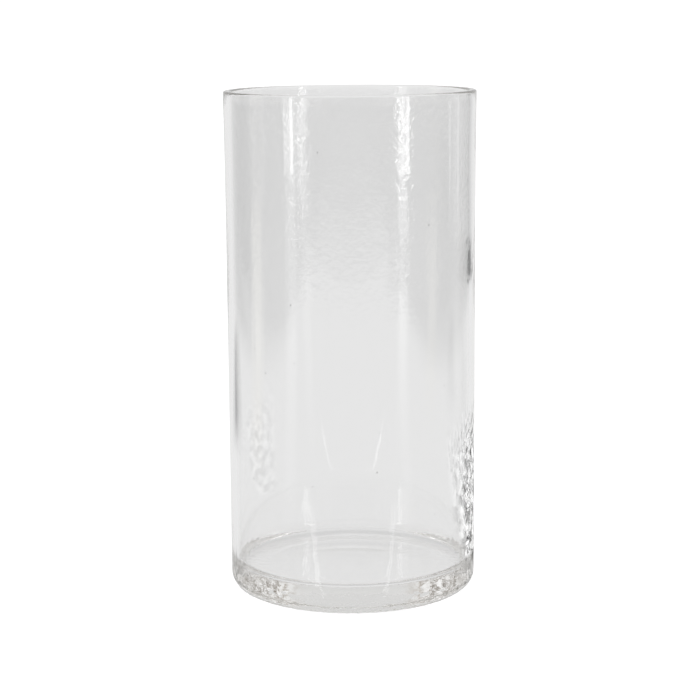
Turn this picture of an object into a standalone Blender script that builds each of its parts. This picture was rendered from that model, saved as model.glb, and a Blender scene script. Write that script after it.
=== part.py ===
"""Glass cylinder vase: one thick-based, straight-sided blown glass body.

The body is a single profile turned about the Z axis.  The origin is at the
centre of the standing ring, on the surface the vase stands on, and +Z is up.
Lengths are in metres.
"""
import math

import bmesh
import bpy

# Overall sizes
HEIGHT = 0.300
OUTER_RADIUS = 0.0742
WALL = 0.0045
BASE_THICKNESS = 0.016

# The mouth opens very slightly over this length below the rim
FLARE_LENGTH = 0.100
FLARE = 0.0006

# Roundings
HEEL_RADIUS = 0.009
INNER_CORNER_RADIUS = 0.006
RIM_RADIUS = 0.0013

# The underside is pushed up a little, so that the vase stands on a flat ring
RING_WIDTH = 0.012
PUSH_UP = 0.0008

# Fineness of the facets
TURN_STEPS = 96
FLARE_STEPS = 4
HEEL_STEPS = 6
CORNER_STEPS = 6
RIM_STEPS = 4
PUSH_UP_STEPS = 5
MERGE_DISTANCE = 0.00001
SMOOTH_ANGLE = math.radians(30.0)

GLASS_COLOUR = (0.82, 0.85, 0.84, 1.0)
GLASS_ROUGHNESS = 0.03
GLASS_IOR = 1.52


def outer_radius_at(height):
    """The outer radius: constant up the wall, opening by a square law under the rim."""
    share = max(0.0, (height - (HEIGHT - FLARE_LENGTH)) / FLARE_LENGTH)
    return OUTER_RADIUS + FLARE * share ** 2


def arc(centre_r, centre_z, radius, start, end, steps):
    """Points of a circular arc in the (r, z) plane, from start to end in degrees."""
    angles = [math.radians(start + (end - start) * i / steps) for i in range(steps + 1)]
    return [(centre_r + radius * math.cos(a), centre_z + radius * math.sin(a)) for a in angles]


def floor_and_corner():
    """Up from the middle of the inner floor, outwards, and round the inner corner."""
    inner_radius = OUTER_RADIUS - WALL
    corner_r = inner_radius - INNER_CORNER_RADIUS
    corner_z = BASE_THICKNESS + INNER_CORNER_RADIUS
    corner = arc(corner_r, corner_z, INNER_CORNER_RADIUS, -90.0, 0.0, CORNER_STEPS)
    return [(0.0, BASE_THICKNESS)] + corner


def flare_heights():
    """Heights where the wall starts to open, up to where the rim rounding begins."""
    low = HEIGHT - FLARE_LENGTH
    high = HEIGHT - RIM_RADIUS
    return [low + (high - low) * i / FLARE_STEPS for i in range(FLARE_STEPS + 1)]


def rim():
    """The fire-polished rim: flat on top, with both its edges melted round."""
    centre_z = HEIGHT - RIM_RADIUS
    outer_r = outer_radius_at(centre_z) - RIM_RADIUS
    inner_r = outer_r - WALL + 2.0 * RIM_RADIUS
    inner_edge = arc(inner_r, centre_z, RIM_RADIUS, 180.0, 90.0, RIM_STEPS)
    outer_edge = arc(outer_r, centre_z, RIM_RADIUS, 90.0, 0.0, RIM_STEPS)
    return inner_edge + outer_edge


def heel():
    """The outer rounding between the wall and the flat standing ring."""
    centre_r = OUTER_RADIUS - HEEL_RADIUS
    return arc(centre_r, HEEL_RADIUS, HEEL_RADIUS, 0.0, -90.0, HEEL_STEPS)


def pushed_up_underside():
    """A shallow dome inside the standing ring, highest on the axis."""
    edge = OUTER_RADIUS - HEEL_RADIUS - RING_WIDTH
    radii = [edge * (1.0 - i / PUSH_UP_STEPS) for i in range(PUSH_UP_STEPS + 1)]
    return [(r, PUSH_UP * math.cos(math.pi / 2 * r / edge)) for r in radii]


def body_profile():
    """The whole outline, from the inner floor over the rim to the underside."""
    inner_wall = [(outer_radius_at(z) - WALL, z) for z in flare_heights()[:-1]]
    outer_wall = [(outer_radius_at(z), z) for z in reversed(flare_heights()[:-1])]
    return floor_and_corner() + inner_wall + rim() + outer_wall + heel() + pushed_up_underside()


def turned_object(name, profile):
    """Turn an (r, z) outline about the Z axis into one closed body."""
    shape = bmesh.new()
    points = [shape.verts.new((r, 0.0, z)) for r, z in profile]
    edges = [shape.edges.new(pair) for pair in zip(points, points[1:])]
    bmesh.ops.spin(
        shape,
        geom=points + edges,
        cent=(0.0, 0.0, 0.0),
        axis=(0.0, 0.0, 1.0),
        angle=2.0 * math.pi,
        steps=TURN_STEPS,
        use_merge=True,
    )
    bmesh.ops.remove_doubles(shape, verts=shape.verts, dist=MERGE_DISTANCE)
    bmesh.ops.recalc_face_normals(shape, faces=shape.faces)
    mesh = bpy.data.meshes.new(name)
    shape.to_mesh(mesh)
    shape.free()
    mesh.shade_smooth()
    mesh.set_sharp_from_angle(angle=SMOOTH_ANGLE)
    turned = bpy.data.objects.new(name, mesh)
    bpy.context.scene.collection.objects.link(turned)
    return turned


def clear_glass():
    """Colourless soda-lime glass with a trace of grey-green."""
    material = bpy.data.materials.new("clear_glass")
    material.use_nodes = True
    surface = material.node_tree.nodes["Principled BSDF"]
    surface.inputs["Base Color"].default_value = GLASS_COLOUR
    surface.inputs["Roughness"].default_value = GLASS_ROUGHNESS
    surface.inputs["Metallic"].default_value = 0.0
    surface.inputs["IOR"].default_value = GLASS_IOR
    surface.inputs["Transmission Weight"].default_value = 1.0
    return material


def main():
    for item in list(bpy.data.objects):
        bpy.data.objects.remove(item, do_unlink=True)
    vase_body = turned_object("vase_body", body_profile())
    vase_body.data.materials.append(clear_glass())


main()
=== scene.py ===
# %% [markdown]
# # A glass cylinder vase
#
# A florist's cylinder is one piece of blown glass: a straight wall, a thick base
# and a rim that a flame has melted round. There is nothing else to it, so its
# whole look comes from the shape of two surfaces. The outside took the smooth
# face of the mould. The inside never touched a tool: it cooled against air and
# kept a faint ripple, and that ripple is what makes highlights break up and tells
# the eye that this is glass and not plastic.
#
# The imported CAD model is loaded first. It fixes the size and the place, and
# everything made below is worked out from its box.

# %% Load the fixed frame
import math

import bpy
import numpy as np
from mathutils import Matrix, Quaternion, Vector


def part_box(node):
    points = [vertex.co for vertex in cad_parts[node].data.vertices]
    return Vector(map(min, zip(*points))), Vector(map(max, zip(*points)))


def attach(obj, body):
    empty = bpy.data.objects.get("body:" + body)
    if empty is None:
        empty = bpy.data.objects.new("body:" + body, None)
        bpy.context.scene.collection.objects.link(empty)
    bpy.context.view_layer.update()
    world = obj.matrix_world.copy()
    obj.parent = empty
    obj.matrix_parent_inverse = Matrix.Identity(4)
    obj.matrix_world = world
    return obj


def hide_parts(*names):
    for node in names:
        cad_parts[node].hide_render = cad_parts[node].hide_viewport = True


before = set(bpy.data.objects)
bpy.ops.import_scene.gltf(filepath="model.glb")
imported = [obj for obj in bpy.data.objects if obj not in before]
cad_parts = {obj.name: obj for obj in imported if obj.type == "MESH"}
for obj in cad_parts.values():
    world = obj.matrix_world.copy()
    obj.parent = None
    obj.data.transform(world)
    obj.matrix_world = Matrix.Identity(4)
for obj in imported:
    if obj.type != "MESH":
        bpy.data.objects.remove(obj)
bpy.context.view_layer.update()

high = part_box("vase_body")[1]


# %% [markdown]
# ## Sizes
#
# The height and the radius at the mouth come from the CAD box. The other sizes are
# those of the real vase: a wall of 4.5 mm, a base of 16 mm, and a mouth that opens
# by 0.6 mm all round over the last 100 mm, because the rim sagged a little while it
# was soft. The underside is pushed up inside a flat ring, so the vase doesn't rock.
# The rim is flat on top with both its edges melted round.

# %% Sizes of the glass, in metres
HEIGHT = high.z
WALL = 0.0045
BASE = 0.016
FLARE = 0.0006
FLARE_LENGTH = 0.100
HEEL_RADIUS = 0.009
CORNER_RADIUS = 0.006
RIM_RADIUS = 0.0013
RING_WIDTH = 0.012
PUSH_UP = 0.0008
FOOT_TOP = 0.019  # the chilled skin of the foot starts below this height
MOUTH_SHARE = (FLARE_LENGTH - RIM_RADIUS) / FLARE_LENGTH
BODY_RADIUS = high.x - FLARE * MOUTH_SHARE ** 2
print("body radius, mm:", round(1000 * BODY_RADIUS, 2), "height, mm:", round(1000 * HEIGHT, 1))


# %% [markdown]
# ## The outline
#
# A turned shape is an outline carried round an axis, so the outline comes first: a
# list of points (r, z), where r is the distance from the axis. It starts in the
# middle of the inner floor, climbs the inside, goes over the rim, comes down the
# outside and ends in the middle of the underside. Each stretch is a straight run, an
# arc or a cosine, sampled as finely as its detail needs: the inner wall carries
# ripples a few millimetres long, so it gets a row about every 1.6 mm, while the
# smooth outer wall needs one only every 9 mm.

# %% Stretches of the outline
def outer_radius_at(height):
    """The outer radius: level up the wall, opening with the square of the way up the flare."""
    share = np.clip((height - (HEIGHT - FLARE_LENGTH)) / FLARE_LENGTH, 0.0, 1.0)
    return BODY_RADIUS + FLARE * share ** 2


def straight(start, end, count):
    """Evenly spaced points from start to end, without the end."""
    share = np.linspace(0.0, 1.0, count, endpoint=False)[:, None]
    return np.array(start) + share * (np.array(end) - np.array(start))


def arc(centre, radius, start, end, count):
    """Points on a circle round centre between two angles in degrees, without the last."""
    turn = np.radians(np.linspace(start, end, count, endpoint=False))
    return np.array(centre) + radius * np.stack([np.cos(turn), np.sin(turn)], axis=1)


def wall_run(bottom, top, inset, count):
    """Points up or down the wall, following the flare, inset from the outer radius."""
    heights = np.linspace(bottom, top, count, endpoint=False)
    return np.stack([outer_radius_at(heights) - inset, heights], axis=1)


def dome(edge, count):
    """The pushed-up underside from its edge to the axis: a quarter of a cosine wave."""
    radii = np.linspace(edge, 0.0, count)
    return np.stack([radii, PUSH_UP * np.cos(0.5 * math.pi * radii / edge)], axis=1)


print("outer radius at the mouth, mm:", round(1000 * float(outer_radius_at(HEIGHT)), 2))


# %% The whole outline
corner_r = BODY_RADIUS - WALL - CORNER_RADIUS
corner_z = BASE + CORNER_RADIUS
rim_z = HEIGHT - RIM_RADIUS
rim_outer = float(outer_radius_at(rim_z)) - RIM_RADIUS
rim_inner = rim_outer - WALL + 2.0 * RIM_RADIUS
heel_r = BODY_RADIUS - HEEL_RADIUS
ring_r = heel_r - RING_WIDTH
stretches = {
    "floor": straight((0.0, BASE), (corner_r, BASE), count=20),
    "corner": arc((corner_r, corner_z), CORNER_RADIUS, -90.0, 0.0, count=9),
    "inner_wall": wall_run(corner_z, rim_z, WALL, count=168),
    "rim_inside": arc((rim_inner, rim_z), RIM_RADIUS, 180.0, 90.0, count=7),
    "rim_top": straight((rim_inner, HEIGHT), (rim_outer, HEIGHT), count=4),
    "rim_outside": arc((rim_outer, rim_z), RIM_RADIUS, 90.0, 0.0, count=7),
    "outer_wall": wall_run(rim_z, FOOT_TOP, 0.0, count=30),
    "outer_foot": wall_run(FOOT_TOP, HEEL_RADIUS, 0.0, count=8),
    "heel": arc((heel_r, HEEL_RADIUS), HEEL_RADIUS, 0.0, -90.0, count=10),
    "ring": straight((heel_r, 0.0), (ring_r, 0.0), count=9),
    "dome": dome(ring_r, count=30),
}
outline = np.concatenate(list(stretches.values()))
part_of_row = np.repeat(list(stretches), [len(points) for points in stretches.values()])
print("outline:", len(outline), "points in", len(stretches), "stretches")


# %% [markdown]
# ## Ripples
#
# The ripple on blown glass has no direction and no repeat. A good stand-in is a sum
# of plane waves in space, each with its own direction, length and phase. Read off at
# the points of the wall it runs round the vase without a seam, because a wave in
# space doesn't know where the circle starts.

# %% A field of waves
WAVE_LENGTHS = (0.75, 1.33)  # shortest and longest, as shares of the length asked for


def wave_field(points, length, stretch, count, seed):
    """Sum of count plane waves, cos(k.p + phase), scaled to a root mean square of 1.

    Their lengths lie within a third of length, and stretch multiplies it along Z.
    """
    draw = np.random.default_rng(seed)
    direction = draw.normal(size=(count, 3))
    direction /= np.linalg.norm(direction, axis=1, keepdims=True)
    lengths = length * draw.uniform(*WAVE_LENGTHS, size=(count, 1))
    wave_vector = 2.0 * math.pi * direction / lengths / np.array([1.0, 1.0, stretch])
    phase = draw.uniform(0.0, 2.0 * math.pi, size=count)
    return np.cos(points @ wave_vector.T + phase).sum(axis=1) * math.sqrt(2.0 / count)


sample_points = np.random.default_rng(1).uniform(size=(4000, 3))
sample = wave_field(sample_points, length=0.01, stretch=1.0, count=40, seed=2)
print("root mean square of a sample field:", round(float(np.sqrt((sample ** 2).mean())), 2))


# %% [markdown]
# ## Turning the outline
#
# The outline is carried round Z, one copy per column. The grid of points is a
# function of two parameters, the row along the outline and the angle. Each row also
# has a normal, square to the outline, which points out of the glass: the ripples
# will push the points along it.

# %% Grid of points
COLUMNS = 320
angles = np.linspace(0.0, 2.0 * math.pi, COLUMNS, endpoint=False)
tangent = np.gradient(outline, axis=0)
tangent /= np.linalg.norm(tangent, axis=1, keepdims=True)
normal = np.stack([-tangent[:, 1], tangent[:, 0]], axis=1)


def turned(profile):
    """Carry (r, z) points round Z: x = r cos(angle), y = r sin(angle), row by row."""
    r = profile[:, :1]
    z = np.broadcast_to(profile[:, 1:], (len(profile), COLUMNS))
    return np.stack([r * np.cos(angles), r * np.sin(angles), z], axis=-1).reshape(-1, 3)


body_points = turned(outline)
print("grid:", len(outline), "rows by", COLUMNS, "columns")


# %% [markdown]
# ## How deep the ripple is, and where
#
# Four ripples lie on the glass. A slow one, 45 mm long, is the slight unevenness of
# the blow. A medium one, 4.5 mm long, roughens the inside of the wall. It is deepest
# near the mouth, where the gather was blown out furthest. A coarse one leans up the
# right-hand side near the foot, and shows faintly at one height further up, where the
# glass folded on itself as it filled the mould. The last is chill: the foot and the
# heel met cold iron first and wrinkled.

# %% Depth on each stretch, in metres
SLOW_LENGTH = 0.045
MEDIUM_LENGTH = 0.0045
COARSE_LENGTH = 0.0065
CHILL_LENGTH = 0.0042
slow_depth = {"floor": 1e-5, "corner": 1e-5, "inner_wall": 3.0e-5, "outer_wall": 0.6e-5}
medium_depth = {"inner_wall": 3.6e-5}
coarse_depth = {"inner_wall": 2.2e-4}
chill_depth = {"outer_foot": 2.5e-5, "heel": 5.0e-5, "ring": 0.5e-5, "dome": 0.1e-5}
SOFT_ROWS = 9


def depth_by_row(table):
    """One depth per row, softened over a few rows so that no stretch starts with a step."""
    depth = np.array([table.get(name, 0.0) for name in part_of_row])
    soft = np.hanning(SOFT_ROWS)
    return np.convolve(depth, soft / soft.sum(), mode="same")


def per_point(row_values):
    """Repeat each row's value for every column."""
    return np.repeat(row_values, COLUMNS)


print("coarse ripple on the inner wall, mm:", round(1000 * depth_by_row(coarse_depth).max(), 3))


# %% Heights and shares that place the ripples
MOUTH_START = 0.16  # from here the inner ripple grows up to its full depth
MOUTH_FADE = 0.04
QUIET_SHARE = 0.10  # and lower down this much of it is left
FLOOR_START = 0.018
FLOOR_FADE = 0.02
CALM_RIGHT = 1.15
CALM_LEFT = 0.8
CALM_FAR_LEFT = 0.3
LUMPS_TOP = 0.115
LUMPS_FADE = 0.03
LUMPS_NARROW = 36  # a high power of X keeps the lumps to a thin strip on the right
FOLD_HEIGHT = 0.197
FOLD_REACH = 0.010
FOLD_SHARE = 0.25
CHILL_BACK = 0.3
CHILL_SIDES = 1.0
print("lumps end", round(1000 * LUMPS_TOP), "mm up, and the fold is", round(1000 * FOLD_HEIGHT), "mm up")


# %% Where each ripple is strong
distance = np.maximum(np.hypot(body_points[:, 0], body_points[:, 1]), 1e-9)
side = body_points[:, 0] / distance
back = body_points[:, 1] / distance
height = body_points[:, 2]
right = np.maximum(side, 0.0)
left = np.maximum(-side, 0.0)
near_mouth = np.clip((height - MOUTH_START) / MOUTH_FADE, QUIET_SHARE, 1.0)
above_floor = np.clip((height - FLOOR_START) / FLOOR_FADE, 0.0, 1.0)
calm_right = np.maximum(1.0 - CALM_RIGHT * right ** 4, 0.0)
calm_left = np.maximum(1.0 - CALM_LEFT * left ** 2 - CALM_FAR_LEFT * left ** 6, 0.0)
uneven = near_mouth * above_floor * calm_right * calm_left
near_foot = np.clip((LUMPS_TOP - height) / LUMPS_FADE, 0.0, 1.0)
fold = np.exp(-((height - FOLD_HEIGHT) / FOLD_REACH) ** 2)
lumpy = right ** LUMPS_NARROW * np.maximum(near_foot, FOLD_SHARE * fold)
patchy = 1.0 - CHILL_BACK * back + CHILL_SIDES * side ** 4
print("rows with the full ripple:", int((near_mouth[::COLUMNS] == 1.0).sum()))


# %% Add the four ripples up
LEAN = np.array([0.0, 0.7, 0.0])
LUMPY_MEDIUM = 2.5  # the folded strip carries more of the medium ripple too
CHILL_SINK = 2.0  # in depths: a chilled skin shrinks inward, so it stays inside the outline
leaning_points = body_points - body_points[:, 2:] * LEAN
slow = wave_field(body_points, SLOW_LENGTH, stretch=1.6, count=40, seed=3)
medium = wave_field(body_points, MEDIUM_LENGTH, stretch=1.0, count=60, seed=5)
coarse = wave_field(leaning_points, COARSE_LENGTH, stretch=1.8, count=60, seed=12)
chill = wave_field(body_points, CHILL_LENGTH, stretch=1.0, count=60, seed=8)
push = per_point(depth_by_row(slow_depth)) * slow
push += (uneven + LUMPY_MEDIUM * lumpy) * per_point(depth_by_row(medium_depth)) * medium
push += lumpy * per_point(depth_by_row(coarse_depth)) * coarse
push -= patchy * per_point(depth_by_row(chill_depth)) * (CHILL_SINK + chill)
print("ripple, mm:", round(1000 * push.min(), 3), "to", round(1000 * push.max(), 3))


# %% Push the points along their normals
def push_along_normals(points, amount):
    """Move every grid point by amount along its row's normal, turned to its column."""
    grid_shape = (len(outline), COLUMNS, 3)
    turned_normal = turned(normal).reshape(grid_shape)
    moved = points.reshape(grid_shape) + turned_normal * amount.reshape(-1, COLUMNS, 1)
    return moved.reshape(-1, 3)


body_points = push_along_normals(body_points, push)
body_points[:, 2] = np.maximum(body_points[:, 2], 0.0)
print("height after the push, mm:", round(1000 * body_points[:, 2].max(), 2))


# %% [markdown]
# ## Closing the skin
#
# The first and the last row lie on the axis, where a ring of points would pinch into
# one. Those two rows are replaced with a single point each and a fan of triangles.
# Every other cell of the grid is a quad, listed so that it faces out of the glass.

# %% Faces of a turned skin
def turned_skin(points, rows):
    """Points and faces of a closed turned skin: a fan, bands of quads, and a fan."""
    ring_points = points[COLUMNS:-COLUMNS]
    first, last = points[:COLUMNS].mean(axis=0), points[-COLUMNS:].mean(axis=0)
    rings = rows - 2
    here = np.arange(COLUMNS)
    there = np.roll(here, -1)
    start = (np.arange(rings - 1) * COLUMNS)[:, None]
    quads = np.stack(
        [start + here, start + COLUMNS + here, start + COLUMNS + there, start + there], axis=-1
    ).reshape(-1, 4)
    first_index, last_index = len(ring_points), len(ring_points) + 1
    end = (rings - 1) * COLUMNS
    opening_fan = np.stack([np.full(COLUMNS, first_index), here, there], axis=1)
    closing_fan = np.stack([end + here, np.full(COLUMNS, last_index), end + there], axis=1)
    faces = quads.tolist() + opening_fan.tolist() + closing_fan.tolist()
    return np.concatenate([ring_points, [first, last]]), faces


skin_points, skin_faces = turned_skin(body_points, len(outline))
print("skin:", len(skin_points), "points,", len(skin_faces), "faces")


# %% [markdown]
# ## Seeds
#
# Seeds are air bubbles, under a millimetre long, that were trapped when the glass was
# gathered and drawn out lengthwise as it was blown. Each is a small egg-shaped hollow
# in the middle of the wall. Its faces point into the hollow, because that is the way
# out of the glass.

# %% Where the seeds are
SEED_COUNT = 16
SEED_HEIGHTS = (0.03, 0.28)
SEED_SIZES = (0.00022, 0.00040)
SEED_DEPTHS = (0.35, 0.65)  # as shares of the wall, so none breaks the skin
draw = np.random.default_rng(21)
seed_angle = draw.uniform(0.0, 2.0 * math.pi, SEED_COUNT)
seed_height = draw.uniform(*SEED_HEIGHTS, SEED_COUNT)
seed_size = draw.uniform(*SEED_SIZES, SEED_COUNT)
seed_radius = outer_radius_at(seed_height) - WALL * draw.uniform(*SEED_DEPTHS, SEED_COUNT)
seed_centres = np.stack(
    [seed_radius * np.cos(seed_angle), seed_radius * np.sin(seed_angle), seed_height], axis=1
)
print("seeds:", SEED_COUNT, "up to", round(2000 * seed_size.max(), 2), "mm wide")


# %% Seed hollows
SEED_SIDES = 10
SEED_RINGS = 7
SEED_STRETCH = 1.6


def seed_hollows(centres, sizes):
    """Egg shapes: unit sphere (sin u cos v, sin u sin v, cos u), stretched along Z."""
    u = np.linspace(0.0, math.pi, SEED_RINGS)[1:-1, None]
    v = np.linspace(0.0, 2.0 * math.pi, SEED_SIDES, endpoint=False)
    ball = np.stack([np.sin(u) * np.cos(v), np.sin(u) * np.sin(v), np.cos(u) + 0.0 * v], axis=-1)
    ball = np.concatenate([ball.reshape(-1, 3), [[0.0, 0.0, 1.0], [0.0, 0.0, -1.0]]])
    ball = ball * np.array([1.0, 1.0, SEED_STRETCH])
    return centres[:, None, :] + sizes[:, None, None] * ball[None, :, :]


def seed_faces(first_index):
    """Faces of one egg, wound so that they point into it."""
    here = np.arange(SEED_SIDES)
    there = np.roll(here, -1)
    rings = SEED_RINGS - 2
    start = (np.arange(rings - 1) * SEED_SIDES)[:, None]
    bands = np.stack(
        [start + here, start + there, start + SEED_SIDES + there, start + SEED_SIDES + here], axis=-1
    ).reshape(-1, 4)
    top, bottom, end = rings * SEED_SIDES, rings * SEED_SIDES + 1, (rings - 1) * SEED_SIDES
    cap = np.stack([np.full(SEED_SIDES, top), there, here], axis=1)
    foot = np.stack([np.full(SEED_SIDES, bottom), end + here, end + there], axis=1)
    local = bands.tolist() + cap.tolist() + foot.tolist()
    return [[first_index + corner for corner in face] for face in local]


hollows = seed_hollows(seed_centres, seed_size)
all_points = np.concatenate([skin_points, hollows.reshape(-1, 3)])
all_faces = list(skin_faces)
for number in range(SEED_COUNT):
    all_faces += seed_faces(len(skin_points) + number * hollows.shape[1])
print("each seed:", hollows.shape[1], "points")


# %% [markdown]
# ## One mesh
#
# Wall, base, rim and seeds are one body of glass, so they go into one mesh. It also
# carries a number at every point, called untouched, that says how rough the skin is
# there: the inside of the wall and the heel have it, and the pressed surfaces don't.
# The material reads it and adds a ripple too fine for the mesh.

# %% The vase
def mesh_object(name, points, faces):
    """A smooth-shaded mesh object at the origin."""
    mesh = bpy.data.meshes.new(name)
    mesh.from_pydata(points.tolist(), [], faces)
    mesh.shade_smooth()
    mesh.update()
    made = bpy.data.objects.new(name, mesh)
    bpy.context.scene.collection.objects.link(made)
    return made


vase_glass = mesh_object("vase_glass", all_points, all_faces)
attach(vase_glass, "root")
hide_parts("vase_body")
triangles = sum(len(face) - 2 for face in all_faces)
print("vase_glass:", len(all_points), "points,", triangles, "triangles")


# %% How untouched the skin is at each point
untouched_depth = {"inner_wall": 1.5, "outer_foot": 0.6, "heel": 1.0, "ring": 0.1}
below_floor = (height < FLOOR_START) * 1.0
untouched = per_point(depth_by_row(untouched_depth)) * (uneven + lumpy + below_floor)
untouched = untouched[COLUMNS:-COLUMNS]
skin_values = np.zeros(len(all_points), dtype=np.float32)
skin_values[:len(untouched)] = untouched
skin = vase_glass.data.attributes.new("untouched", "FLOAT", "POINT")
skin.data.foreach_set("value", skin_values)
print("untouched skin: up to", round(float(skin_values.max()), 2))


# %% [markdown]
# ## Soda-lime glass
#
# The material is soda-lime glass, the common glass of bottles and vases. Its surface
# was melted smooth, so it has no roughness of its own, and its index of refraction is
# 1.52. It is nearly colourless: only a long way through it, along the base, does a
# trace of grey show, so that colour is in the volume and not on the surface. A noise
# 2.2 mm across, a tenth of a millimetre deep, is the finest ripple of the skin.

# %% Helpers for materials
def linear(hex_colour):
    """An sRGB hex colour as linear red, green, blue and alpha."""
    srgb = np.array([int(hex_colour[i:i + 2], 16) for i in (1, 3, 5)]) / 255.0
    low_part = srgb / 12.92
    high_part = ((srgb + 0.055) / 1.055) ** 2.4
    return (*np.where(srgb <= 0.04045, low_part, high_part).tolist(), 1.0)


def add_node(tree, kind, settings, inputs):
    """Add a node, set its settings, and set or link its inputs."""
    made = tree.nodes.new(kind)
    for name, value in settings.items():
        setattr(made, name, value)
    for name, value in inputs.items():
        if isinstance(value, bpy.types.NodeSocket):
            tree.links.new(value, made.inputs[name])
        else:
            made.inputs[name].default_value = value
    return made


def empty_tree(owner):
    """The node tree of a material or a world, with nothing in it."""
    owner.use_nodes = True
    owner.node_tree.nodes.clear()
    return owner.node_tree


print("mid grey #808080 is", round(linear("#808080")[0], 3), "in linear light")


# %% The glass
GLASS_IOR = 1.52
FINE_RIPPLE = 0.0022
FINE_DEPTH = 0.0001
GLASS_TINT = "#FCFCFC"
DEPTH_TINT = "#E0DFDC"
DEPTH_DENSITY = 4.0


def soda_lime_glass():
    """Clear glass, with a fine ripple in its skin and a trace of colour in its depth."""
    material = bpy.data.materials.new("soda_lime_glass")
    tree = empty_tree(material)
    place = add_node(tree, "ShaderNodeTexCoord", {}, {}).outputs["Object"]
    ripple = add_node(
        tree,
        "ShaderNodeTexNoise",
        {},
        {"Vector": place, "Scale": 1.0 / FINE_RIPPLE, "Detail": 1.0},
    )
    skin = add_node(tree, "ShaderNodeAttribute", {"attribute_name": "untouched"}, {})
    depth_here = add_node(
        tree,
        "ShaderNodeMath",
        {"operation": "MULTIPLY"},
        {0: ripple.outputs["Fac"], 1: skin.outputs["Fac"]},
    )
    bump = add_node(
        tree,
        "ShaderNodeBump",
        {},
        {"Height": depth_here.outputs[0], "Strength": 1.0, "Distance": FINE_DEPTH},
    )
    surface = add_node(
        tree,
        "ShaderNodeBsdfPrincipled",
        {},
        {
            "Base Color": linear(GLASS_TINT),
            "Roughness": 0.0,
            "IOR": GLASS_IOR,
            "Transmission Weight": 1.0,
            "Normal": bump.outputs["Normal"],
        },
    )
    depth = add_node(
        tree,
        "ShaderNodeVolumeAbsorption",
        {},
        {"Color": linear(DEPTH_TINT), "Density": DEPTH_DENSITY},
    )
    add_node(
        tree,
        "ShaderNodeOutputMaterial",
        {},
        {"Surface": surface.outputs["BSDF"], "Volume": depth.outputs["Volume"]},
    )
    return material


vase_glass.data.materials.append(soda_lime_glass())
print("material:", vase_glass.data.materials[0].name)


# %% [markdown]
# ## A table for glass to look at
#
# Glass has no colour of its own to light: it shows what is around it. So the studio is
# chosen for what the glass reflects and bends into view. The camera sees a plain white
# table. The glass sees the same table painted in tones of grey: pale in the middle, dark
# beyond its sides and its near edge, with a glow toward each softbox and a soft shadow
# on the far side of the vase from it. Each thing below is one function. Most take the
# tone made so far and return it with that thing added. A pair of numbers such as
# NEAR_EDGE gives where a change of tone starts and where it ends, in metres for a place
# and from -1 to 1 for a direction.

# %% Places and directions on the table
SMOOTH = {"interpolation_type": "SMOOTHSTEP"}
TIMES = {"operation": "MULTIPLY"}
TIMES_PLUS = {"operation": "MULTIPLY_ADD"}
MIX_NUMBERS = {"data_type": "FLOAT"}
MIX_COLOURS = {"data_type": "RGBA"}
WHITE = linear("#FFFFFF")


def table_places(tree):
    """Sockets: the place, its X and Y, how far it is from the axis and in what direction."""
    place = add_node(tree, "ShaderNodeNewGeometry", {}, {}).outputs["Position"]
    parts = add_node(tree, "ShaderNodeSeparateXYZ", {}, {"Vector": place})
    reach = add_node(tree, "ShaderNodeVectorMath", {"operation": "LENGTH"}, {0: place})
    way = add_node(tree, "ShaderNodeVectorMath", {"operation": "NORMALIZE"}, {0: place})
    way_parts = add_node(tree, "ShaderNodeSeparateXYZ", {}, {"Vector": way.outputs["Vector"]})
    across = add_node(tree, "ShaderNodeMath", {"operation": "ABSOLUTE"}, {0: parts.outputs["X"]})
    return {
        "place": place,
        "x": parts.outputs["X"],
        "y": parts.outputs["Y"],
        "across": across.outputs[0],
        "reach": reach.outputs["Value"],
        "way": way.outputs["Vector"],
        "way_x": way_parts.outputs["X"],
        "way_y": way_parts.outputs["Y"],
    }


def toward(side_angle):
    """The unit vector on the table toward an angle in degrees, 0 in front, plus to the right."""
    turn = math.radians(side_angle)
    return (math.sin(turn), -math.cos(turn), 0.0)


print("a step toward 47.5 degrees:", [round(value, 2) for value in toward(47.5)])


# %% Pale middle, shadow line at the foot, and the edges in front
CONTACT_STRETCH = 4.0  # the ramp below covers a quarter of a metre
CONTACT_TONES = ((0.0, 0.82), (0.25, 0.80), (0.285, 0.60), (0.305, 0.78), (0.42, 0.82), (1.0, 0.84))
NEAR_EDGE = (-1.475, -1.415)
NEAR_EDGE_TONE = 0.5
FAR_EDGE = (-2.12, -2.04)
FAR_EDGE_TONE = 0.3


def grey_stops(ramp, tones):
    """Give a colour ramp one grey stop for each (position, tone), from the left."""
    stops = ramp.color_ramp.elements
    for stop, (position, tone) in ((stops[0], tones[0]), (stops[1], tones[-1])):
        stop.position = position
        stop.color = (tone, tone, tone, 1.0)
    for position, tone in tones[1:-1]:
        stops.new(position).color = (tone, tone, tone, 1.0)


def middle_tone(tree, at):
    """Pale grey with a thin darker ring where the foot meets the table."""
    share = add_node(tree, "ShaderNodeMath", TIMES, {0: at["reach"], 1: CONTACT_STRETCH})
    contact = add_node(tree, "ShaderNodeValToRGB", {}, {"Fac": share.outputs[0]})
    grey_stops(contact, CONTACT_TONES)
    return contact.outputs["Color"]


def near_and_far_edge(tree, at):
    """Two steps down in front: the table's near edge, then the dark floor of the room."""
    near_edge = add_node(
        tree,
        "ShaderNodeMapRange",
        SMOOTH,
        {
            "Value": at["y"],
            "From Min": NEAR_EDGE[0],
            "From Max": NEAR_EDGE[1],
            "To Min": NEAR_EDGE_TONE,
        },
    )
    far_edge = add_node(
        tree,
        "ShaderNodeMapRange",
        SMOOTH,
        {
            "Value": at["y"],
            "From Min": FAR_EDGE[0],
            "From Max": FAR_EDGE[1],
            "To Min": FAR_EDGE_TONE,
        },
    )
    both = {0: near_edge.outputs["Result"], 1: far_edge.outputs["Result"]}
    return add_node(tree, "ShaderNodeMath", TIMES, both).outputs[0]


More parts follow.
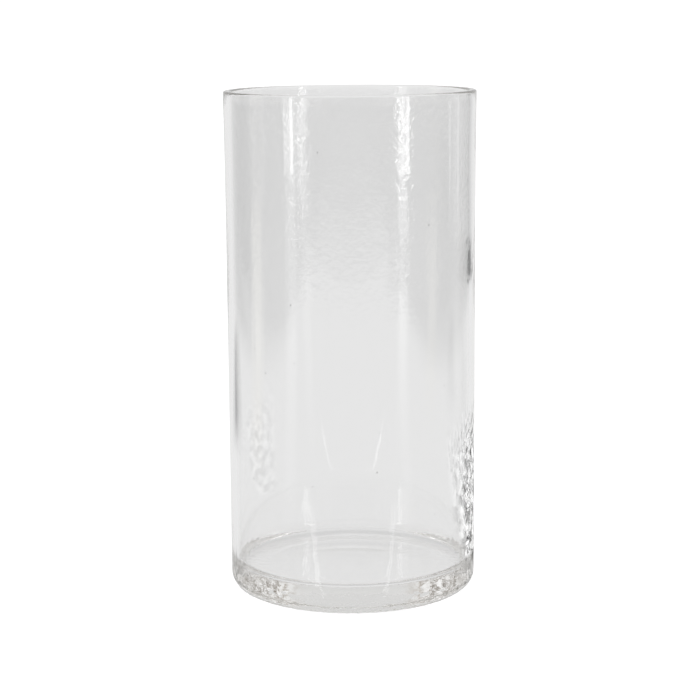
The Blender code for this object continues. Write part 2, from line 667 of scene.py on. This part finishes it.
darkest_at, darkest = min(CONTACT_TONES, key=lambda stop: stop[1])
print("darkest ring:", darkest, "at", round(1000 * darkest_at / CONTACT_STRETCH, 1), "mm from the axis")


# %% Dark beyond the sides
LEFT_REACH = (1.4, 2.4)
LEFT_TONES = (0.38, 0.16)
STRAIGHT_BEHIND = (0.50, 0.80)
RIGHT_TONES = ((0.15, 0.10), (0.35, 0.50), (0.72, 0.55), (0.90, 1.0))
SPREAD_Y = (-1.1, -0.3)
SPREAD = 0.25  # the dark starts this much further out in front
SIDE_EDGE = (0.98, 0.70)
HAZE_REACH = (4.5, 14.0)
FAR_HAZE = 0.80


def beyond_left(tree, at):
    """Tone past the left side: darker the further out, and pale again straight behind."""
    dark = add_node(
        tree,
        "ShaderNodeMapRange",
        SMOOTH,
        {
            "Value": at["reach"],
            "From Min": LEFT_REACH[0],
            "From Max": LEFT_REACH[1],
            "To Min": LEFT_TONES[0],
            "To Max": LEFT_TONES[1],
        },
    )
    return add_node(
        tree,
        "ShaderNodeMapRange",
        SMOOTH,
        {
            "Value": at["way_y"],
            "From Min": STRAIGHT_BEHIND[0],
            "From Max": STRAIGHT_BEHIND[1],
            "To Min": dark.outputs["Result"],
        },
    ).outputs["Result"]


def beyond_right(tree, at):
    """Tone past the right side: dark beside the vase, and pale straight behind."""
    tones = add_node(tree, "ShaderNodeValToRGB", {}, {"Fac": at["way_y"]})
    grey_stops(tones, RIGHT_TONES)
    return tones.outputs["Color"]


def side_tone(tree, at):
    """1 on the table, and darker tones past its sides that lift to haze a long way off."""
    spread = add_node(
        tree,
        "ShaderNodeMapRange",
        {},
        {
            "Value": at["y"],
            "From Min": SPREAD_Y[0],
            "From Max": SPREAD_Y[1],
            "To Min": SPREAD,
            "To Max": 0.0,
        },
    )
    beyond = add_node(
        tree,
        "ShaderNodeMath",
        {"operation": "SUBTRACT"},
        {0: at["across"], 1: spread.outputs["Result"]},
    )
    inside = add_node(
        tree,
        "ShaderNodeMapRange",
        SMOOTH,
        {"Value": beyond.outputs[0], "From Min": SIDE_EDGE[0], "From Max": SIDE_EDGE[1]},
    )
    on_right = add_node(tree, "ShaderNodeMath", {"operation": "GREATER_THAN"}, {0: at["way_x"], 1: 0.0})
    outer = {"Factor": on_right.outputs[0], "A": beyond_left(tree, at), "B": beyond_right(tree, at)}
    outer_tone = add_node(tree, "ShaderNodeMix", MIX_NUMBERS, outer).outputs["Result"]
    haze = add_node(
        tree,
        "ShaderNodeMapRange",
        SMOOTH,
        {
            "Value": at["reach"],
            "From Min": HAZE_REACH[0],
            "From Max": HAZE_REACH[1],
            "To Max": FAR_HAZE,
        },
    )
    lifted = {0: outer_tone, 1: haze.outputs["Result"]}
    outer_tone = add_node(tree, "ShaderNodeMath", {"operation": "MAXIMUM"}, lifted).outputs[0]
    either = {"Factor": inside.outputs["Result"], "A": outer_tone, "B": 1.0}
    return add_node(tree, "ShaderNodeMix", MIX_NUMBERS, either).outputs["Result"]


print("the table is dark from", SIDE_EDGE[0], "m out beside the vase")


# %% Glow of the softboxes
LEFT_GLOW = -55.4  # directions in degrees, as toward() takes them
RIGHT_GLOW = 47.5
GLOW_HALF_WIDTHS = ((LEFT_GLOW, 7.0), (RIGHT_GLOW, 6.0))
GLOW_STRENGTH = 0.8
GLOW_RISE = (0.1, 1.5)


def add_glows(tree, at, tone):
    """A wedge of light toward each softbox, brighter further out."""
    rise = add_node(
        tree,
        "ShaderNodeMapRange",
        {},
        {"Value": at["reach"], "From Min": GLOW_RISE[0], "From Max": GLOW_RISE[1]},
    )
    for side_angle, half_width in GLOW_HALF_WIDTHS:
        aim = add_node(
            tree,
            "ShaderNodeVectorMath",
            {"operation": "DOT_PRODUCT"},
            {0: at["way"], 1: toward(side_angle)},
        )
        edge = math.cos(math.radians(half_width))
        wedge = add_node(
            tree,
            "ShaderNodeMapRange",
            SMOOTH,
            {"Value": aim.outputs["Value"], "From Min": edge, "From Max": 1.0, "To Max": GLOW_STRENGTH},
        )
        lit = {0: wedge.outputs["Result"], 1: rise.outputs["Result"], 2: tone}
        tone = add_node(tree, "ShaderNodeMath", TIMES_PLUS, lit).outputs[0]
    return tone


print("glows toward", LEFT_GLOW, "and", RIGHT_GLOW, "degrees")


# %% Shadow of the vase from each softbox
SHADOW_DEPTHS = ((LEFT_GLOW, 0.10), (RIGHT_GLOW, 0.55))
SHADOW_SIDE = (0.10, 0.055)
SHADOW_FAR_END = (1.15, 0.85)
SHADOW_NEAR_END = (0.38, 0.60)


def add_shadows(tree, at, tone):
    """A band of shade, a little wider than the vase, behind it in line with each glow."""
    for side_angle, depth in SHADOW_DEPTHS:
        ahead = toward(side_angle)
        along = add_node(
            tree,
            "ShaderNodeVectorMath",
            {"operation": "DOT_PRODUCT"},
            {0: at["place"], 1: (-ahead[0], -ahead[1], 0.0)},
        )
        beside = add_node(
            tree,
            "ShaderNodeVectorMath",
            {"operation": "DOT_PRODUCT"},
            {0: at["place"], 1: (-ahead[1], ahead[0], 0.0)},
        )
        beside = add_node(tree, "ShaderNodeMath", {"operation": "ABSOLUTE"}, {0: beside.outputs["Value"]})
        band = add_node(
            tree,
            "ShaderNodeMapRange",
            SMOOTH,
            {
                "Value": beside.outputs[0],
                "From Min": SHADOW_SIDE[0],
                "From Max": SHADOW_SIDE[1],
                "To Max": depth,
            },
        )
        far_end = add_node(
            tree,
            "ShaderNodeMapRange",
            SMOOTH,
            {
                "Value": along.outputs["Value"],
                "From Min": SHADOW_FAR_END[0],
                "From Max": SHADOW_FAR_END[1],
            },
        )
        near_end = add_node(
            tree,
            "ShaderNodeMapRange",
            SMOOTH,
            {
                "Value": along.outputs["Value"],
                "From Min": SHADOW_NEAR_END[0],
                "From Max": SHADOW_NEAR_END[1],
            },
        )
        ends = {0: far_end.outputs["Result"], 1: near_end.outputs["Result"]}
        length = add_node(tree, "ShaderNodeMath", TIMES, ends).outputs[0]
        shade = add_node(tree, "ShaderNodeMath", TIMES, {0: length, 1: band.outputs["Result"]})
        kept = add_node(tree, "ShaderNodeMath", {"operation": "SUBTRACT"}, {0: 1.0, 1: shade.outputs[0]})
        tone = add_node(tree, "ShaderNodeMath", TIMES, {0: tone, 1: kept.outputs[0]}).outputs[0]
    return tone


print("each shadow, mm wide at half its depth:", round(1000 * sum(SHADOW_SIDE)))


# %% Thin glows
THIN_GLOWS = ((100.8, 0.9), (113.8, 0.7))
THIN_OUTSIDE = 1.8  # degrees off the line where it fades out, and where it is full
THIN_INSIDE = 0.7
THIN_START = (1.4, 3.0)


def add_thin_glows(tree, at, tone):
    """Two narrow lines of light far off on the right."""
    start = add_node(
        tree,
        "ShaderNodeMapRange",
        SMOOTH,
        {"Value": at["reach"], "From Min": THIN_START[0], "From Max": THIN_START[1]},
    )
    for side_angle, strength in THIN_GLOWS:
        aim = add_node(
            tree,
            "ShaderNodeVectorMath",
            {"operation": "DOT_PRODUCT"},
            {0: at["way"], 1: toward(side_angle)},
        )
        line = add_node(
            tree,
            "ShaderNodeMapRange",
            SMOOTH,
            {
                "Value": aim.outputs["Value"],
                "From Min": math.cos(math.radians(THIN_OUTSIDE)),
                "From Max": math.cos(math.radians(THIN_INSIDE)),
                "To Max": strength,
            },
        )
        lit = {0: line.outputs["Result"], 1: start.outputs["Result"], 2: tone}
        tone = add_node(tree, "ShaderNodeMath", TIMES_PLUS, lit).outputs[0]
    return tone


print("each thin glow, degrees wide at half its strength:", THIN_OUTSIDE + THIN_INSIDE)


# %% Painted light and shade: blots behind on the right
BLOT_SCALE = 30.0
BLOT_CUT = (0.47, 0.53)  # the narrower this is, the harder the blots' edges
BLOT_DARK = 0.05
BLOT_BRIGHT = 1.45
BLOT_SLANT = -0.30
BLOT_ASIDE = (0.068, 0.080)
BLOT_CLOSE = (0.60, 0.38)
BLOT_BEHIND = (0.02, 0.06)


def add_blots(tree, at, tone):
    """Painted light and shade: dark and bright blots a few centimetres wide, close behind the vase on the
    right.

    A place is to the right when X is more than 68 mm plus 0.3 times Y: only the edge of
    the glass, where light is bent most, looks there.
    """
    speckle_noise = add_node(
        tree,
        "ShaderNodeTexNoise",
        {},
        {"Vector": at["place"], "Scale": BLOT_SCALE, "Detail": 3.0},
    )
    blots = add_node(
        tree,
        "ShaderNodeMapRange",
        SMOOTH,
        {
            "Value": speckle_noise.outputs["Fac"],
            "From Min": BLOT_CUT[0],
            "From Max": BLOT_CUT[1],
            "To Min": BLOT_DARK,
            "To Max": BLOT_BRIGHT,
        },
    )
    slant = add_node(tree, "ShaderNodeMath", TIMES_PLUS, {0: at["y"], 1: BLOT_SLANT, 2: at["x"]})
    aside = add_node(
        tree,
        "ShaderNodeMapRange",
        SMOOTH,
        {"Value": slant.outputs[0], "From Min": BLOT_ASIDE[0], "From Max": BLOT_ASIDE[1]},
    )
    close = add_node(
        tree,
        "ShaderNodeMapRange",
        SMOOTH,
        {"Value": at["reach"], "From Min": BLOT_CLOSE[0], "From Max": BLOT_CLOSE[1]},
    )
    behind = add_node(
        tree,
        "ShaderNodeMapRange",
        SMOOTH,
        {"Value": at["y"], "From Min": BLOT_BEHIND[0], "From Max": BLOT_BEHIND[1]},
    )
    where = {0: aside.outputs["Result"], 1: close.outputs["Result"]}
    where = add_node(tree, "ShaderNodeMath", TIMES, where).outputs[0]
    where = add_node(tree, "ShaderNodeMath", TIMES, {0: where, 1: behind.outputs["Result"]}).outputs[0]
    changed = {"Factor": where, "A": tone, "B": blots.outputs["Result"]}
    return add_node(tree, "ShaderNodeMix", MIX_NUMBERS, changed).outputs["Result"]


print("blots about", round(1000 / BLOT_SCALE), "mm across")


# %% One dark patch
PATCH_TONE = 0.1
PATCH_NEAR_END = (1.30, 1.45)
PATCH_FAR_END = (1.95, 1.70)
PATCH_ASIDE = (0.52, 0.56)
PATCH_STRENGTH = 0.85


def add_patch(tree, at, tone):
    """One dark patch further off on the right, a metre and a half away."""
    near_end = add_node(
        tree,
        "ShaderNodeMapRange",
        SMOOTH,
        {"Value": at["reach"], "From Min": PATCH_NEAR_END[0], "From Max": PATCH_NEAR_END[1]},
    )
    far_end = add_node(
        tree,
        "ShaderNodeMapRange",
        SMOOTH,
        {"Value": at["reach"], "From Min": PATCH_FAR_END[0], "From Max": PATCH_FAR_END[1]},
    )
    aside = add_node(
        tree,
        "ShaderNodeMapRange",
        SMOOTH,
        {
            "Value": at["way_x"],
            "From Min": PATCH_ASIDE[0],
            "From Max": PATCH_ASIDE[1],
            "To Max": PATCH_STRENGTH,
        },
    )
    ends = {0: near_end.outputs["Result"], 1: far_end.outputs["Result"]}
    length = add_node(tree, "ShaderNodeMath", TIMES, ends).outputs[0]
    where = add_node(tree, "ShaderNodeMath", TIMES, {0: length, 1: aside.outputs["Result"]}).outputs[0]
    changed = {"Factor": where, "A": tone, "B": PATCH_TONE}
    return add_node(tree, "ShaderNodeMix", MIX_NUMBERS, changed).outputs["Result"]


print("the patch lies from", PATCH_NEAR_END[0], "to", PATCH_FAR_END[0], "m out")


# %% Streaks of light in front
STREAK_STRENGTH = 2.0
STREAK_SCALE = 28.0
STREAK_WANDER = 0.016
STREAK_AWAY = 0.0391
STREAK_ACROSS = 0.730
STREAK_BACK = 0.683
STREAK_REACH = (0.11, 0.40)
STREAK_HALF_WIDTHS = (0.0022, 0.010)
STREAK_FAR_END = (-0.30, -0.20)
STREAK_NEAR_END = (-0.100, -0.112)


def add_streaks(tree, at, tone):
    """Two thin wandering lines of light that run forward and outward from the foot.

    Their distance from a straight line is 0.730 |X| + 0.683 Y + 47 mm, and a noise moves
    that by a few millimetres either way.
    """
    noise = add_node(
        tree,
        "ShaderNodeTexNoise",
        {},
        {"Vector": at["place"], "Scale": STREAK_SCALE, "Detail": 1.0},
    )
    wander = {0: noise.outputs["Fac"], 1: STREAK_WANDER, 2: STREAK_AWAY}
    off = add_node(tree, "ShaderNodeMath", TIMES_PLUS, wander).outputs[0]
    off = add_node(tree, "ShaderNodeMath", TIMES_PLUS, {0: at["across"], 1: STREAK_ACROSS, 2: off}).outputs[0]
    off = add_node(tree, "ShaderNodeMath", TIMES_PLUS, {0: at["y"], 1: STREAK_BACK, 2: off}).outputs[0]
    off = add_node(tree, "ShaderNodeMath", {"operation": "ABSOLUTE"}, {0: off}).outputs[0]
    width = add_node(
        tree,
        "ShaderNodeMapRange",
        {},
        {
            "Value": at["reach"],
            "From Min": STREAK_REACH[0],
            "From Max": STREAK_REACH[1],
            "To Min": STREAK_HALF_WIDTHS[0],
            "To Max": STREAK_HALF_WIDTHS[1],
        },
    )
    line = add_node(
        tree,
        "ShaderNodeMapRange",
        SMOOTH,
        {"Value": off, "From Min": width.outputs["Result"], "From Max": 0.0, "To Max": STREAK_STRENGTH},
    )
    far_end = add_node(
        tree,
        "ShaderNodeMapRange",
        SMOOTH,
        {"Value": at["y"], "From Min": STREAK_FAR_END[0], "From Max": STREAK_FAR_END[1]},
    )
    near_end = add_node(
        tree,
        "ShaderNodeMapRange",
        SMOOTH,
        {"Value": at["y"], "From Min": STREAK_NEAR_END[0], "From Max": STREAK_NEAR_END[1]},
    )
    ends = {0: far_end.outputs["Result"], 1: near_end.outputs["Result"]}
    length = add_node(tree, "ShaderNodeMath", TIMES, ends).outputs[0]
    lit = {0: line.outputs["Result"], 1: length, 2: tone}
    return add_node(tree, "ShaderNodeMath", TIMES_PLUS, lit).outputs[0]


print("the streaks run from", -STREAK_NEAR_END[0], "to", -STREAK_FAR_END[0], "m in front")


# %% A painted cream light on the left
CREAM = linear("#FFFCF1")
CREAM_ANGLE = -95.0
CREAM_OUTSIDE = 9.0  # degrees off its middle where the board ends, and where it is full
CREAM_INSIDE = 4.0
CREAM_NEAR_END = (0.3, 0.6)
CREAM_FAR_END = (2.6, 1.8)
CREAM_FAR_TONE = 0.12


def add_cream_beam(tree, at, tone):
    """A wedge of painted cream light on the left. Returns the tone with it, and the tint of each place."""
    aim = add_node(
        tree,
        "ShaderNodeVectorMath",
        {"operation": "DOT_PRODUCT"},
        {0: at["way"], 1: toward(CREAM_ANGLE)},
    )
    wedge = add_node(
        tree,
        "ShaderNodeMapRange",
        SMOOTH,
        {
            "Value": aim.outputs["Value"],
            "From Min": math.cos(math.radians(CREAM_OUTSIDE)),
            "From Max": math.cos(math.radians(CREAM_INSIDE)),
        },
    )
    near_end = add_node(
        tree,
        "ShaderNodeMapRange",
        SMOOTH,
        {"Value": at["reach"], "From Min": CREAM_NEAR_END[0], "From Max": CREAM_NEAR_END[1]},
    )
    far_end = add_node(
        tree,
        "ShaderNodeMapRange",
        SMOOTH,
        {
            "Value": at["reach"],
            "From Min": CREAM_FAR_END[0],
            "From Max": CREAM_FAR_END[1],
            "To Min": CREAM_FAR_TONE,
            "To Max": 1.0,
        },
    )
    # Painted cream light: the wedge lifts the table's tone up to full brightness and tints it cream.
    started = {0: wedge.outputs["Result"], 1: near_end.outputs["Result"]}
    beam = add_node(tree, "ShaderNodeMath", TIMES, started).outputs[0]
    level = add_node(tree, "ShaderNodeMath", TIMES, {0: beam, 1: far_end.outputs["Result"]}).outputs[0]
    tone = add_node(tree, "ShaderNodeMath", {"operation": "MAXIMUM"}, {0: tone, 1: level}).outputs[0]
    tint = add_node(tree, "ShaderNodeMix", MIX_COLOURS, {"Factor": beam, 6: WHITE, 7: CREAM})
    return tone, tint.outputs[2]


print("cream board toward", CREAM_ANGLE, "degrees")


# %% The table
FLOOR_HALF = 20.0
FLOOR_DROP = 0.0001
SHOWN_GREY = linear("#959595")
SHOWN_GLOW = 0.92


def table_material():
    """White to the camera with a soft shadow, and the painted greys to the glass."""
    material = bpy.data.materials.new("pale_table")
    tree = empty_tree(material)
    at = table_places(tree)
    edges = {0: near_and_far_edge(tree, at), 1: side_tone(tree, at)}
    dim = add_node(tree, "ShaderNodeMath", TIMES, edges).outputs[0]
    tone = add_node(tree, "ShaderNodeMath", TIMES, {0: middle_tone(tree, at), 1: dim}).outputs[0]
    for add_one in (add_glows, add_shadows, add_blots, add_patch, add_streaks, add_thin_glows):
        tone = add_one(tree, at, tone)
    tone, tint = add_cream_beam(tree, at, tone)
    for_glass = add_node(tree, "ShaderNodeEmission", {}, {"Color": tint, "Strength": tone})
    lit = add_node(tree, "ShaderNodeBsdfDiffuse", {}, {"Color": SHOWN_GREY})
    glow = add_node(tree, "ShaderNodeEmission", {}, {"Strength": SHOWN_GLOW})
    for_camera = add_node(tree, "ShaderNodeAddShader", {}, {0: lit.outputs[0], 1: glow.outputs[0]})
    path = add_node(tree, "ShaderNodeLightPath", {}, {})
    chosen = add_node(
        tree,
        "ShaderNodeMixShader",
        {},
        {0: path.outputs["Is Camera Ray"], 1: for_glass.outputs[0], 2: for_camera.outputs[0]},
    )
    add_node(tree, "ShaderNodeOutputMaterial", {}, {"Surface": chosen.outputs[0]})
    return material


corners = np.array([[-1.0, -1.0, 0.0], [1.0, -1.0, 0.0], [1.0, 1.0, 0.0], [-1.0, 1.0, 0.0]])
floor = mesh_object("floor", FLOOR_HALF * corners - [0.0, 0.0, FLOOR_DROP], [[0, 1, 2, 3]])
floor.data.materials.append(table_material())
print("table:", len(floor.data.materials[0].node_tree.nodes), "nodes")


# %% [markdown]
# ## Softboxes
#
# Two tall narrow softboxes stand in front of the vase, one on each side. Each shows
# twice in the glass, once in the front of the wall and once in the back of it, and
# that gives the two pairs of long bright lines. A softbox is brightest in the middle,
# where its tube is, so each is a wide dim lamp with a narrow bright one in it. They
# end at 115 mm above the table, and the lines fade where they do.

# %% The lamps
LAMP_DISTANCE = 1.5
LAMP_FOOT = 0.115
LAMP_TOP = 1.30
LAMPS = (  # name, degrees round from the front, width in metres and brightness
    ("softbox_left", -55.4, 0.262, 1.0),
    ("softbox_right", 50.0, 0.204, 1.3),
    ("tube_left", -52.8, 0.080, 3.6),
    ("tube_right", 51.5, 0.080, 3.6),
    ("tube_outer", -60.0, 0.060, 0.6),
)


def softbox(name, side_angle, width, radiance):
    """A tall area light that stands round the vase and faces it."""
    turn = math.radians(side_angle)
    tall = LAMP_TOP - LAMP_FOOT
    lamp = bpy.data.lights.new(name, "AREA")
    lamp.shape = "RECTANGLE"
    lamp.size = width
    lamp.size_y = tall
    lamp.energy = radiance * math.pi * width * tall
    made = bpy.data.objects.new(name, lamp)
    ahead = toward(side_angle)
    middle = (LAMP_FOOT + LAMP_TOP) / 2
    made.location = (LAMP_DISTANCE * ahead[0], LAMP_DISTANCE * ahead[1], middle)
    made.rotation_euler = (math.radians(90.0), 0.0, turn)
    made.visible_camera = False
    bpy.context.scene.collection.objects.link(made)
    print(name, "at", side_angle, "degrees,", round(lamp.energy, 2), "W")
    return made


for name, side_angle, width, radiance in LAMPS:
    softbox(name, side_angle, width, radiance)


# %% [markdown]
# ## The room
#
# Over the table the glass sees a room: pale behind and overhead, darker in front where
# the camera stands, and full of small things at the sides. Those are the sparkle in the
# thick base, because the base is the one part that gathers light from the sides. They
# are a noise, warm where it is dark, like wood in a daylit room.

# %% The world
ROOM_FRONT = 0.35
ROOM_BACK = 0.78
FRONT_TO_BACK = (-0.6, 0.4)
LEVEL_TO_RAISED = (0.1, 0.7)
AHEAD_TO_ASIDE = (0.25, 0.50)
CLUTTER_SCALE = 32.0
CLUTTER_CUT = (0.42, 0.58)
CLUTTER_DARK = 0.28
CLUTTER_BRIGHT = 1.15
WARM = linear("#FFF0DE")
CAMERA_WHITE = 1.1


def room():
    """A pale room: lighter behind and above, darker in front, and white to the camera."""
    world = bpy.data.worlds.new("studio")
    bpy.context.scene.world = world
    tree = empty_tree(world)
    way = add_node(tree, "ShaderNodeTexCoord", {}, {}).outputs["Generated"]
    parts = add_node(tree, "ShaderNodeSeparateXYZ", {}, {"Vector": way})
    level = add_node(
        tree,
        "ShaderNodeMapRange",
        SMOOTH,
        {
            "Value": parts.outputs["Y"],
            "From Min": FRONT_TO_BACK[0],
            "From Max": FRONT_TO_BACK[1],
            "To Min": ROOM_FRONT,
            "To Max": ROOM_BACK,
        },
    )
    raised = add_node(
        tree,
        "ShaderNodeMapRange",
        SMOOTH,
        {
            "Value": parts.outputs["Z"],
            "From Min": LEVEL_TO_RAISED[0],
            "From Max": LEVEL_TO_RAISED[1],
        },
    )
    plain = {"Factor": raised.outputs["Result"], "A": level.outputs["Result"], "B": 1.0}
    tone = add_node(tree, "ShaderNodeMix", MIX_NUMBERS, plain).outputs["Result"]
    across = add_node(tree, "ShaderNodeMath", {"operation": "ABSOLUTE"}, {0: parts.outputs["X"]})
    ahead = add_node(
        tree,
        "ShaderNodeMapRange",
        SMOOTH,
        {
            "Value": across.outputs[0],
            "From Min": AHEAD_TO_ASIDE[0],
            "From Max": AHEAD_TO_ASIDE[1],
            "To Min": 1.0,
            "To Max": 0.0,
        },
    ).outputs["Result"]
    speckle_noise = add_node(
        tree,
        "ShaderNodeTexNoise",
        {},
        {"Vector": way, "Scale": CLUTTER_SCALE, "Detail": 3.0},
    )
    patches = add_node(
        tree,
        "ShaderNodeMapRange",
        SMOOTH,
        {
            "Value": speckle_noise.outputs["Fac"],
            "From Min": CLUTTER_CUT[0],
            "From Max": CLUTTER_CUT[1],
            "To Min": CLUTTER_DARK,
            "To Max": CLUTTER_BRIGHT,
        },
    ).outputs["Result"]
    tone = add_node(tree, "ShaderNodeMix", MIX_NUMBERS, {"Factor": ahead, "A": patches, "B": tone})
    pale = add_node(tree, "ShaderNodeMath", {"operation": "MAXIMUM"}, {0: ahead, 1: patches})
    for_camera = add_node(tree, "ShaderNodeLightPath", {}, {}).outputs["Is Camera Ray"]
    white = add_node(tree, "ShaderNodeMath", {"operation": "MAXIMUM"}, {0: pale.outputs[0], 1: for_camera})
    tint = add_node(tree, "ShaderNodeMix", MIX_COLOURS, {"Factor": white.outputs[0], 6: WARM, 7: WHITE})
    seen = {"Factor": for_camera, "A": tone.outputs["Result"], "B": CAMERA_WHITE}
    strength = add_node(tree, "ShaderNodeMix", MIX_NUMBERS, seen).outputs["Result"]
    light = {"Color": tint.outputs[2], "Strength": strength}
    background = add_node(tree, "ShaderNodeBackground", {}, light)
    add_node(tree, "ShaderNodeOutputWorld", {}, {"Surface": background.outputs[0]})
    return world


print("room:", room().name)


# %% [markdown]
# ## Camera
#
# The camera stands a little over a metre in front and looks down by ten degrees, from
# just above the rim, so that the mouth shows as a thin ellipse and the base as a deeper
# one. A long lens keeps the walls upright.

# %% The camera
CAMERA_LENS = 101.8
CAMERA_PLACE = (-0.0009, -1.1756, 0.3514)
CAMERA_DOWN = 9.994
CAMERA_ROLL = -0.4
camera_data = bpy.data.cameras.new("camera")
camera_data.lens = CAMERA_LENS
camera = bpy.data.objects.new("camera", camera_data)
camera.location = CAMERA_PLACE
camera.rotation_mode = "QUATERNION"
pitch = Quaternion((1.0, 0.0, 0.0), math.radians(90.0 - CAMERA_DOWN))
camera.rotation_quaternion = pitch @ Quaternion((0.0, 0.0, 1.0), math.radians(CAMERA_ROLL))
bpy.context.scene.collection.objects.link(camera)
bpy.context.scene.camera = camera
print("camera:", CAMERA_LENS, "mm lens,", CAMERA_DOWN, "degrees down")


# %% [markdown]
# ## Light paths
#
# Light that enters the rim runs down inside the wall and is turned back dozens of times
# before it gets out. If the renderer gave up early the rim would go black, so it is
# allowed many bounces. The plain view transform keeps white as white.

# %% Light paths and picture tones
BOUNCES = 128
scene = bpy.context.scene
scene.view_settings.view_transform = "Standard"
scene.cycles.max_bounces = BOUNCES
scene.cycles.glossy_bounces = BOUNCES
scene.cycles.transmission_bounces = BOUNCES
scene.cycles.use_denoising = True
print("bounces:", scene.cycles.max_bounces)
